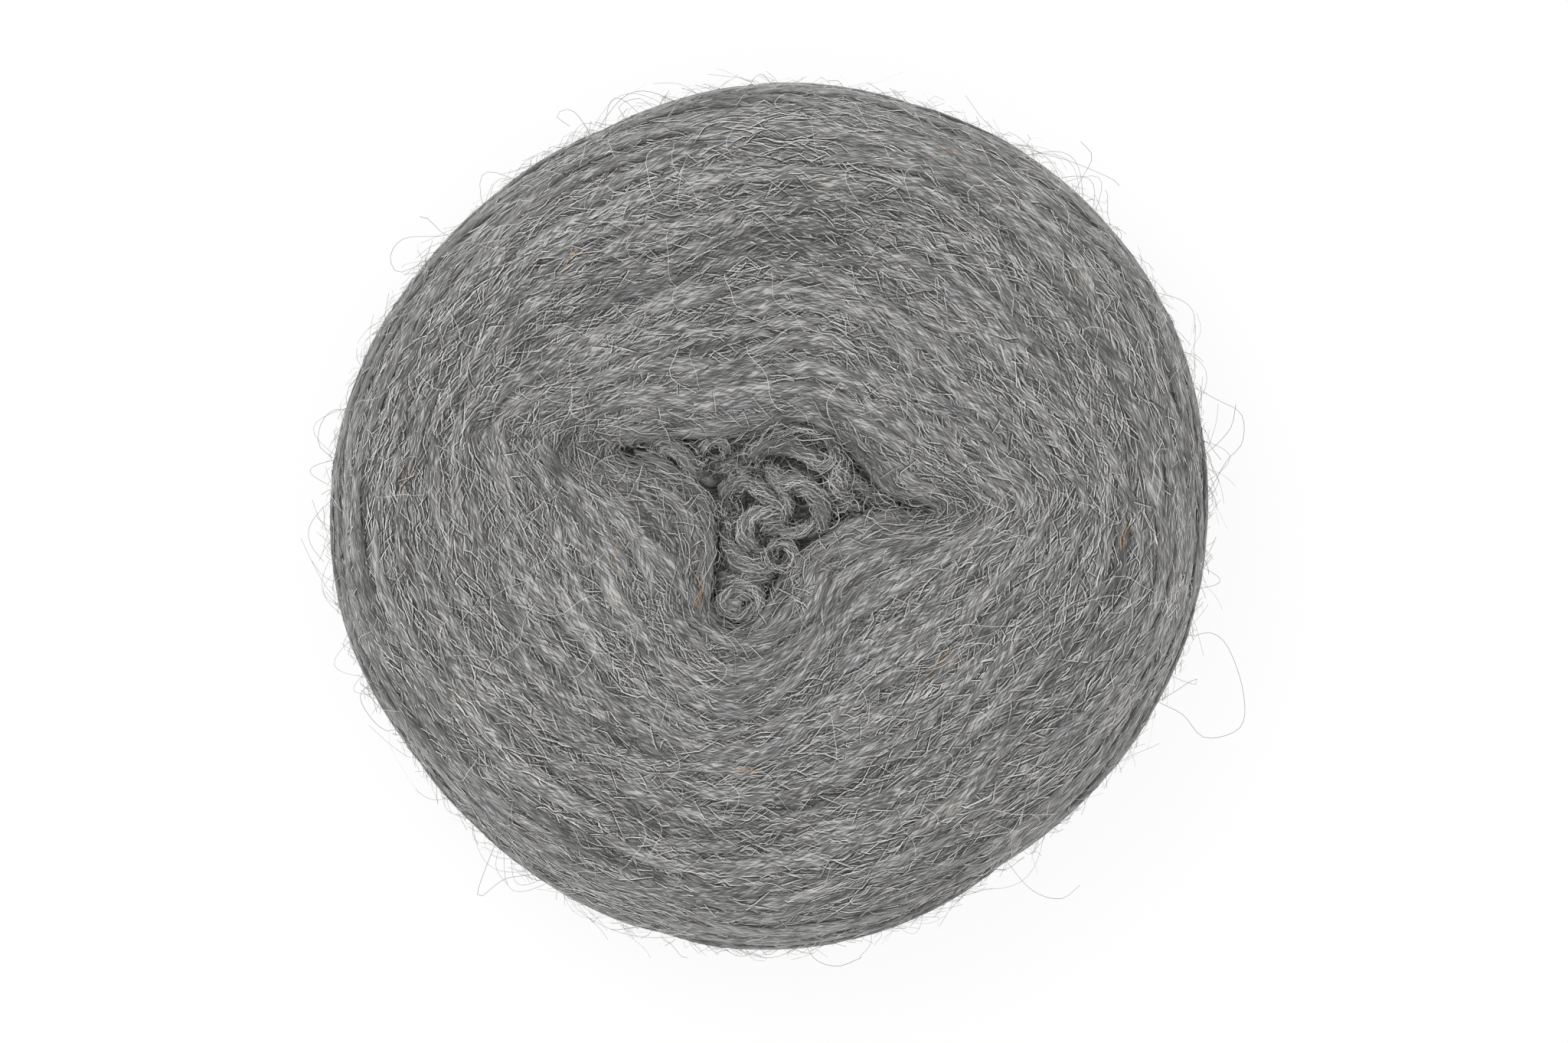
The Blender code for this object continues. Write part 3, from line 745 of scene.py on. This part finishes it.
# Locks: loose bundles of fibres that follow a route
def lock_part(route, radius, count, half=0.06, places=9, share=(0.3, 0.75), turns=0.05,
              fray=0.30, inner=0.12):
    """Fibres wound loosely round a route. `turns` is the twist per millimetre."""
    line = smooth_line(route, 0.4)
    up, side = route_frames(line)
    total = 0.4 * (len(line) - 1)
    span = rng.uniform(*share, count) * total
    begin = rng.uniform(-0.08, 1.08, count) * (total - span)
    place = np.clip(begin[:, None] + span[:, None] * np.linspace(0, 1, places), 0, total * 0.999)
    spot = place / 0.4
    base = np.minimum(spot.astype(int), len(line) - 2)
    part = (spot - base)[..., None]
    centre = line[base] * (1 - part) + line[base + 1] * part
    u = unit(up[base] * (1 - part) + up[base + 1] * part)
    v = unit(side[base] * (1 - part) + side[base + 1] * part)
    reach = radius * np.sqrt(rng.uniform(inner, 1.2, count))[:, None]
    reach = reach * (1 + fray * rng.normal(0, 1, (count, places)))
    angle = rng.uniform(0, 6.28, count)[:, None] + turns * 6.28 * place
    angle = angle + rng.normal(0, 0.35, (count, places))
    radial = u * np.cos(angle)[..., None] + v * np.sin(angle)[..., None]
    points = centre + radial * reach[..., None]
    forward = unit(np.gradient(points, axis=1))
    flank = unit(np.cross(forward, u))
    out = np.cross(flank, forward)
    thick = half * rng.uniform(0.6, 1.4, count)[:, None] * np.ones(places)
    rings = tube_rings(points, flank, out, thick, thick, 3)
    tone = 0.6 * rng.choice(TONES, count, p=TONE_SHARES) + rng.normal(0.18, 0.06, count)
    lay = pairs(place[..., None] + rng.uniform(0, 400, count)[:, None, None],
                np.arange(3) * 0.12 + rng.uniform(0, 400, count)[:, None, None])
    return tube_arrays(rings, lay, tone[:, None, None])


# Curls of the inner end that lie loose round it in the slot: radius, fibres, then x, y, z
SLOT_LOCKS = {
    "left_arch": (1.3, 46, (
        (-25.5, 14, 48.6), (-23.2, 15.2, 50.4), (-20.4, 15, 51.6), (-18.2, 12.8, 51.8),
        (-16.2, 9.8, 51), (-15.2, 6.8, 49))),
    "left_inner": (1.5, 50, (
        (-27.5, 13.4, 50.2), (-23, 11.2, 50.8), (-18.8, 8.4, 50.4), (-15.2, 4.6, 50.2),
        (-12.4, 0.2, 49.8), (-10.6, -3.6, 49.6))),
    "twist": (1.1, 36, (
        (-14.6, 12.2, 48), (-12.8, 14.6, 50.2), (-10.4, 15.4, 50.8), (-8.6, 13.6, 50.4),
        (-9.8, 11.8, 49))),
    "dim_back": (1.7, 56, (
        (-14, 9.8, 46.8), (-10.6, 10.6, 48.2), (-6.8, 9.8, 48.8), (-3.8, 7.6, 48),
        (-5.4, 4.6, 46.8))),
    "top_curl": (1.5, 70, (
        (-4.2, 12.2, 49.4), (-0.8, 14.4, 51.6), (3.6, 14.8, 52.6), (7.6, 12.8, 52.8),
        (10, 10.4, 52.2), (12.6, 10.8, 51.4), (13.8, 13.6, 51.2), (12.8, 16.6, 51.8))),
    "thick_curl": (1.8, 84, (
        (0.6, 9.8, 50.6), (2.2, 7.2, 52.2), (6.2, 6.8, 52.6), (9.4, 4, 52.8),
        (11, 0.4, 52.4), (11.6, -3.4, 51))),
    "middle": (1.4, 60, (
        (-8, 5.8, 49.4), (-4.4, 6.6, 51.2), (-0.6, 4.4, 51.8), (2.4, 1.4, 51.6),
        (1.4, -0.6, 51.4))),
    "big_c": (1.3, 60, (
        (2.4, 0.6, 51.8), (-1.6, 0.8, 52.6), (-4.6, -0.8, 52.8), (-5.4, -4.2, 52.4),
        (-4, -7.2, 51.4))),
    "bright": (1.1, 40, (
        (-1.6, -3, 51.2), (1.8, -2.4, 52.2), (5.2, -3.4, 52), (9.4, -1.8, 51.6))),
    "inner_curl": (1.2, 44, (
        (0, 10.4, 50.6), (0.6, 8.6, 51.6), (2.5, 5.5, 52.2), (3.9, 2.5, 52),
        (3.6, -0.6, 51))),
    "back_fill": (2.2, 70, (
        (15.2, 12.6, 50.4), (14.2, 9.2, 51), (14, 5.8, 51), (15.8, 2.8, 50.8),
        (19, 1.4, 50.8))),
    "loose_back": (2, 30, (
        (-6, 14.5, 50.5), (-2, 16.6, 51.6), (3, 17.6, 52.4), (8, 16.4, 52.6),
        (12.5, 13.2, 52.2), (15, 9.6, 51.4))),
    "ring": (1.5, 26, (
        (-0.4, -7.6, 51.4), (1, -5.6, 51.8), (3.6, -5.4, 52), (5.2, -7.6, 51.8),
        (3.8, -10, 51.6), (1, -9.8, 51.8), (-0.2, -7.8, 52), (1.2, -5.9, 52.2))),
    "low_left": (1.3, 50, (
        (-9.6, -3, 49.8), (-8, -6.2, 51), (-5.2, -8.8, 51.8), (-1.8, -10.8, 51.6),
        (1.4, -10.8, 50.4))),
    "low_bar": (1.1, 40, (
        (-10.6, -11.8, 49.4), (-7.2, -13, 50.8), (-3.8, -12.4, 51.2), (0.4, -13.6, 50))),
    "ball": (1.5, 90, (
        (-10.4, -16, 48.4), (-9, -13.6, 49.8), (-5.4, -13.4, 50.6), (-2.4, -16.2, 50.8),
        (-3.8, -19.6, 50.4), (-7.8, -19.8, 50.2), (-9.4, -17.2, 50.8), (-6.4, -15.4, 51.8),
        (-4.2, -17.2, 52.2))),
    "right_roll": (1.6, 44, (
        (14.6, 10.4, 49.8), (17.6, 6.6, 49.6), (21.2, 3.6, 49.4), (26, 2, 49))),
}
LOOSE_LOCK = 32  # a curl with fewer fibres than this is loose all through


def slot_locks():
    """The curls, each but the loose ones with a body of wool inside its fibres, and fibres on the
    inner end.
    """
    parts = []
    for radius, count, route in SLOT_LOCKS.values():
        parts.append(lock_part(route, radius, round(count * 1.5)))
        if count < LOOSE_LOCK:
            continue
        line = smooth_line(route, 1.0)
        from_end = np.minimum(np.arange(len(line)), np.arange(len(line))[::-1])
        thick = radius * 0.6 * np.minimum(1.0, 0.35 + from_end * 0.16)
        parts.append(line_part(line, thick, 8, -0.05, twist=0.9, lumps=0.1))
    parts.append(lock_part(END_ROUTE, END_DIAMETER / 2, 520, share=(0.03, 0.09), turns=0.03,
                           fray=0.12, inner=0.85))
    join_tubes("slot_locks", parts, FIBRE_WOOL)


def hair_tubes(points, half, tones, above=(0.21, 0.13, 0.97)):
    """Thin tubes along lines of points: hair, place, xyz. `tones` has one column or one for
    each place. The tubes' sections turn to face `above`."""
    forward = unit(np.gradient(points, axis=1))
    flank = unit(np.cross(np.broadcast_to(np.array(above), forward.shape), forward))
    out = np.cross(forward, flank)
    count, places = points.shape[:2]
    thick = np.broadcast_to(half, (count,))[:, None] * np.ones(places)
    rings = tube_rings(points, flank, out, thick, thick, 3)
    rings[..., 2] = np.maximum(rings[..., 2], 0.3)
    lay = rng.uniform(0, 400, (count, 1, 1, 2)) * np.ones((1, places, 3, 1))
    return tube_arrays(rings, lay, tones[..., None])


# Dark gaps between the curls: x, y, reach
SLOT_GAPS = ((-11.4, 6.2, 2.4), (-21.5, 11.8, 1.4), (-2.4, -7.6, 0.9), (-11.6, -16.4, 0.8))


def slot_radius(angle):
    """How far the slot's edge is from the slot's centre at an angle, in radians."""
    edge = GRID[WALL_ROWS, :-1, :2] - SLOT_MIDDLE
    at = np.arctan2(edge[:, 1], edge[:, 0])
    order = np.argsort(at)
    return np.interp(np.mod(angle + math.pi, 2 * math.pi) - math.pi, at[order],
                     np.hypot(edge[:, 0], edge[:, 1])[order])


def slot_cushion(columns=72):
    """The matted wool low in the slot, under the curls, painted a little darker as shade deep in
    the slot.
    """
    angle = np.arange(columns) * 2 * math.pi / columns
    reach = np.minimum(slot_radius(angle), 15.0 / np.maximum(np.cos(angle), 0.2)) * 0.97
    rings = []
    for share, top in ((0.02, 0), (0.96, 0), (1.0, 1), (0.7, 1), (0.4, 1), (0.02, 1)):
        x = SLOT_MIDDLE[0] + reach * share * np.cos(angle)
        y = SLOT_MIDDLE[1] + reach * share * np.sin(angle)
        z = np.full(columns, 44.0)
        if top:
            z = 47.4 + 0.07 * x + 0.35 * np.sin(x * 0.9) * np.cos(y * 0.8)
            z = z - 3.0 * np.exp(-((x + 11.6) ** 2 + (y - 6.4) ** 2) / 6.0)
        rings.append(np.stack([x, y, z], axis=-1))
    rings = np.array(rings)[None]
    # the tone of -0.1 is painted shade, near the tone of the lowest slot-fill fibres
    join_tubes("slot_cushion", [tube_arrays(rings, rings[..., :2], -0.1)], CORE_WOOL)


def slot_fill(count=1450, places=7):
    """Short curly fibres that fill the slot round the curls, save for the dark gaps. They are
    painted darker the lower they lie, as shade deep in the slot.
    """
    tries = count * 8
    angle = rng.uniform(0, 6.28, tries)
    reach = slot_radius(angle)
    far = reach * np.sqrt(rng.uniform(0, 1, tries))
    x, y = SLOT_MIDDLE[0] + far * np.cos(angle), SLOT_MIDDLE[1] + far * np.sin(angle)
    z = 47.2 + 3.2 * rng.uniform(0, 1, tries) ** 0.8 + 2.2 * (far / reach) ** 3
    z = z + 2.8 * np.clip((x - 3.0) / 6.0, 0.0, 1.0)
    bow = rng.uniform(1.6, 6.0, tries)
    sweep = rng.uniform(0.8, 3.6, tries)
    turn = rng.uniform(0, 6.28, tries)
    tilt = rng.normal(0, 0.28, (2, tries))
    arc = turn[:, None] + sweep[:, None] * np.linspace(-0.5, 0.5, places)
    px = x[:, None] + bow[:, None] * (np.cos(arc) - np.cos(turn)[:, None])
    py = y[:, None] + bow[:, None] * (np.sin(arc) - np.sin(turn)[:, None])
    pz = z[:, None] + tilt[0][:, None] * (px - x[:, None]) + tilt[1][:, None] * (py - y[:, None])
    out_x, out_y = px - SLOT_MIDDLE[0], py - SLOT_MIDDLE[1]
    inside = np.hypot(out_x, out_y) < 0.97 * slot_radius(np.arctan2(out_y, out_x))
    good = inside.all(axis=1) & (pz.min(axis=1) > 42.6) & (pz.max(axis=1) < 50.4 + 2.4 * (x > 11))
    for gap_x, gap_y, gap_reach in SLOT_GAPS:
        near = np.hypot(px - gap_x, py - gap_y).min(axis=1) < gap_reach
        good &= ~(near & (pz.max(axis=1) > 44.5))
    kept = np.flatnonzero(good)[:count]
    points = np.stack([px, py, pz], axis=-1)[kept]
    points = points + rng.normal(0, 0.10, points.shape)
    half = 0.065 * rng.uniform(0.6, 1.5, len(kept))
    tone = rng.choice((-0.5, -0.12, 0.3), len(kept), p=(0.34, 0.36, 0.30))
    # painted shade: the lower a fibre lies in the slot, the darker it is
    tone = tone[:, None] + 0.06 * (points[..., 2] - 49.0)
    join_tubes("slot_fill", [hair_tubes(points, half, tone, above=(0.0, 0.0, 1.0))], FIBRE_WOOL)


slot_locks()
slot_cushion()
slot_fill()


# Hairs that stand off the cake
def stray_hairs(count=330, places=10):
    """Long fine hairs that wander over the top, a little above it."""
    bearing = rng.uniform(0, 360, count * 3)
    lay = rng.uniform(LIP_LAY - 8, SHOULDER_LAY + 14, count * 3)
    weight = sample(ROUND, bearing, lay)
    kept = rng.choice(count * 3, count, replace=False, p=weight / weight.sum())
    step = rng.uniform(0.9, 2.2, count)
    heading = np.radians(rng.normal(0, 38, count))
    curl = rng.normal(0, 0.22, count)
    sway = rng.uniform(0, 6.28, count)
    bearings, lays = trace(
        bearing[kept], lay[kept],
        lambda n: heading + curl * n + 0.35 * np.sin(sway + n * 1.1), step, places)
    along = np.linspace(0, 1, places)
    up = unit(sample(NORMAL, bearings, lays))
    raised = rng.uniform(0.3, 1.4, count)[:, None] * np.sin(along * math.pi) ** 0.6
    height = relief_at(RELIEF, bearings, lays) + raised + 0.05
    points = sample(GRID, bearings, lays) + up * height[..., None]
    part = hair_tubes(
        points, rng.uniform(0.03, 0.055, count), rng.choice((0.1, 0.6, 0.9), (count, 1)))
    join_tubes("stray_hairs", [part], FIBRE_WOOL)


def rim_hairs(name, count, reach, places=6, half=(0.025, 0.05)):
    """Short hairs that stand out of the shoulder and the side by `reach`."""
    bearing = rng.uniform(0, 360, count)
    lay = rng.uniform(SHOULDER_LAY + 6, SHOULDER_LAY + 50, count)
    up = unit(sample(NORMAL, bearing, lay))
    start = sample(GRID, bearing, lay) + up * 0.4
    forward = unit(sample(tangent_round, bearing, lay)) * rng.choice((-1, 1), count)[:, None]
    rise = rng.uniform(*reach, count)
    run = rise * rng.uniform(0.6, 3.0, count)
    along = np.linspace(0, 1, places)[None, :, None]
    lean = np.cross(up, forward) * rng.normal(0, 0.7, count)[:, None]
    points = (start[:, None] + up[:, None] * (rise[:, None, None] * along ** 0.8)
              + (forward + lean)[:, None] * (run[:, None, None] * along ** 1.4))
    curl = rng.normal(0, 1, (count, 1, 3)) * np.sin(
        along * rng.uniform(3, 8, count)[:, None, None] + rng.uniform(0, 6.28, (count, 1, 1)))
    points = points + curl * rise[:, None, None] * 0.16 * along
    part = hair_tubes(points, rng.uniform(*half, count), rng.choice((-0.3, 0.1, 0.5), (count, 1)))
    join_tubes(name, [part], FIBRE_WOOL)


# The longest hairs: name, height, then x and y on the plan
LONG_HAIRS = {
    "right_loop": (30, (
        (80, -22), (86.7, -24.6), (90.5, -23.9), (94.2, -26.7), (97.5, -35.7), (97.2, -43.4),
        (89.9, -45.7), (85.2, -40.9), (80.6, -38.5), (77, -36))),
    "right_small_loop": (32, (
        (80, -30), (83.1, -33.0), (87.4, -34.6), (88.3, -34.1), (87.5, -33.6), (83.4, -36.2),
        (80, -38))),
    "right_upper": (30, (
        (82, 28), (86.3, 26.9), (92, 24.0), (97.2, 21.0), (97.5, 15.2), (94.3, 11.4), (91.3, 6.3),
        (88, 2))),
    "top_left_loop": (34, (
        (-56, 58), (-60.8, 61.6), (-66.0, 57.8), (-74.9, 57.2), (-78.0, 53.7), (-76.6, 50.2),
        (-72.5, 51.3), (-68, 52))),
    "top_left": (32, ((-62, 56), (-67.3, 58.3), (-70, 61), (-71.9, 61.6))),
    "top_curl": (36, ((-36, 76), (-38.1, 80.6), (-41, 83.6), (-43.9, 82.4), (-41, 80))),
    "top_curl_2": (34, ((-28, 80), (-31, 84), (-27, 86), (-24, 84))),
    "left_loop": (28, (
        (-76, -30), (-80.6, -33.5), (-84.4, -37), (-82, -42), (-78.4, -44.4), (-75, -42))),
    "left_low": (26, ((-56, -66), (-60.3, -78.4), (-54.8, -75.0), (-48.8, -73.9), (-45, -72))),
    "upper_right": (34, ((46, 72), (48.7, 78.8), (55, 75), (62, 73), (70, 69.5), (71.9, 67.8))),
    "upper_right_2": (32, ((60, 62), (64, 69), (66.5, 74), (64, 77))),
    "right_mid": (30, ((84, 10), (90, 13), (95, 18), (96, 23))),
    "low": (26, ((6, -84), (9, -91), (14, -93), (19, -91))),
    "low_right": (28, ((48, -70), (54, -77), (60, -79), (64, -76))),
    "left_up": (30, ((-82, 18), (-88, 22), (-92, 20), (-93, 15), (-90, 12))),
}


def long_hairs(extra=48):
    """The LONG_HAIRS, and more that bow out from the side."""
    parts = []
    for height, route in LONG_HAIRS.values():
        line = smooth_line([(x, y, height) for x, y in route], 1.6)
        line[:, 2] += 2.5 * np.sin(np.linspace(0, 7, len(line)))
        parts.append(line_part(line, 0.045, 4, -0.1))
    for bearing in rng.uniform(0, 360, extra):
        lay = rng.uniform(SHOULDER_LAY + 14, SHOULDER_LAY + 40)
        start = sample(GRID, np.array([bearing]), np.array([lay]))[0]
        out = unit(np.array([start[0], start[1], 0.0]))
        run = np.array([-out[1], out[0], 0.0]) * rng.choice((-1, 1))
        reach, length = rng.uniform(2.0, 6.5), rng.uniform(6.0, 22.0)
        t = np.linspace(0, 1, 12)[:, None]
        bow = np.sin(t * math.pi * rng.uniform(0.7, 1.6))
        line = start + run * length * (t - 0.2) + out * (reach * bow - 0.5)
        line[:, 2] = line[:, 2] + 2.0 * np.sin(4 * t[:, 0] + rng.uniform(0, 6))
        parts.append(line_part(line, rng.uniform(0.03, 0.05), 3, rng.uniform(-0.4, 0.3)))
    join_tubes("long_hairs", parts, FIBRE_WOOL)


# Brown hairs carded in with the grey: x, y, how many, how long, and their bearing
BROWN_HAIRS = {
    "pocket": (-14.6, -15.8, 3, 7, 82), "upper_right": (36.5, 74.5, 4, 5, -22),
    "near_left": (-74, 8, 2, 5, 80), "low_middle": (-4, -52, 2, 6, 12),
    "right": (72, -4, 2, 5, 70), "upper_left": (-40, 52, 2, 5, 40),
    "middle": (-31, -8, 1, 6, 84), "low_right": (34, -30, 2, 6, 40),
}


def surface_height(x, y):
    """The height of the top or shoulder at a place on the plan."""
    top = GRID[LIP_ROW:SHOULDER_ROW + 17, :-1]
    near = np.hypot(top[..., 0] - x, top[..., 1] - y)
    row, col = np.unravel_index(np.argmin(near), near.shape)
    return top[row, col, 2]


def brown_hairs():
    parts = []
    for x, y, count, length, degrees in BROWN_HAIRS.values():
        for _ in range(count):
            turn = math.radians(degrees + rng.normal(0, 7))
            at = np.linspace(-0.5, 0.5, 8) * length * rng.uniform(0.7, 1.2)
            across = rng.normal(0, 0.35) + 0.35 * np.sin(at * 0.9 + rng.uniform(0, 6))
            px = x + at * math.cos(turn) - across * math.sin(turn)
            py = y + at * math.sin(turn) + across * math.cos(turn)
            pz = [surface_height(a, b) + 0.75 for a, b in zip(px, py)]
            parts.append(line_part(np.stack([px, py, pz], axis=1), 0.07, 3, rng.normal(0, 0.2)))
    join_tubes("brown_hairs", parts, TAN_WOOL)


stray_hairs()
brown_hairs()
rim_hairs("rim_fuzz", 1500, (0.5, 2.2))
rim_hairs("rim_wisps", 130, (2.0, 5.5), places=9, half=(0.025, 0.04))
long_hairs()


# Ground, light and camera, in metres
def ground(reach=3.0):
    """A pale sheet that glows a little, so that it is just white under the lamps."""
    material = bpy.data.materials.new("ground_white")
    material.use_nodes = True
    set_inputs(material.node_tree.nodes["Principled BSDF"], Base_Color=(0.12, 0.12, 0.12, 1.0),
               Roughness=0.9, Specular_IOR_Level=0.0, Emission_Color=(1.0, 1.0, 1.0, 1.0),
               Emission_Strength=0.87)
    mesh = bpy.data.meshes.new("ground")
    mesh.from_pydata(
        [(-reach, -reach, 0), (reach, -reach, 0), (reach, reach, 0), (-reach, reach, 0)], [],
        [(0, 1, 2, 3)])
    mesh.materials.append(material)
    add_object("ground", mesh)


def area_light(name, place, size, power):
    """A round lamp that faces the cake."""
    light = bpy.data.lights.new(name, "AREA")
    light.shape = "DISK"
    light.size = size
    light.energy = power
    lamp = add_object(name, light)
    lamp.location = place
    lamp.rotation_euler = (-Vector(place)).to_track_quat("-Z", "Y").to_euler()


ground()
area_light("key", (-0.9, 0.9, 1.5), 1.4, 11.0)
area_light("fill", (1.2, -0.6, 1.4), 1.6, 1.0)
world = bpy.data.worlds.new("studio")
world.use_nodes = True
set_inputs(world.node_tree.nodes["Background"], Color=(1.0, 1.0, 1.0, 1.0), Strength=1.12)
scene = bpy.context.scene
scene.world = world
scene.view_settings.view_transform = "Standard"

# The camera looks straight down
VIEW_WIDTH = 0.3235  # of the picture, at the height where the cake is widest
SENSOR = 36.0
DISTANCE = 2.0
camera_data = bpy.data.cameras.new("above")
camera_data.sensor_width = SENSOR
camera_data.lens = SENSOR * (DISTANCE - EQUATOR * MM) / VIEW_WIDTH
camera = add_object("above", camera_data)
camera.location = (0.0030, -0.0011, DISTANCE)
scene.camera = camera
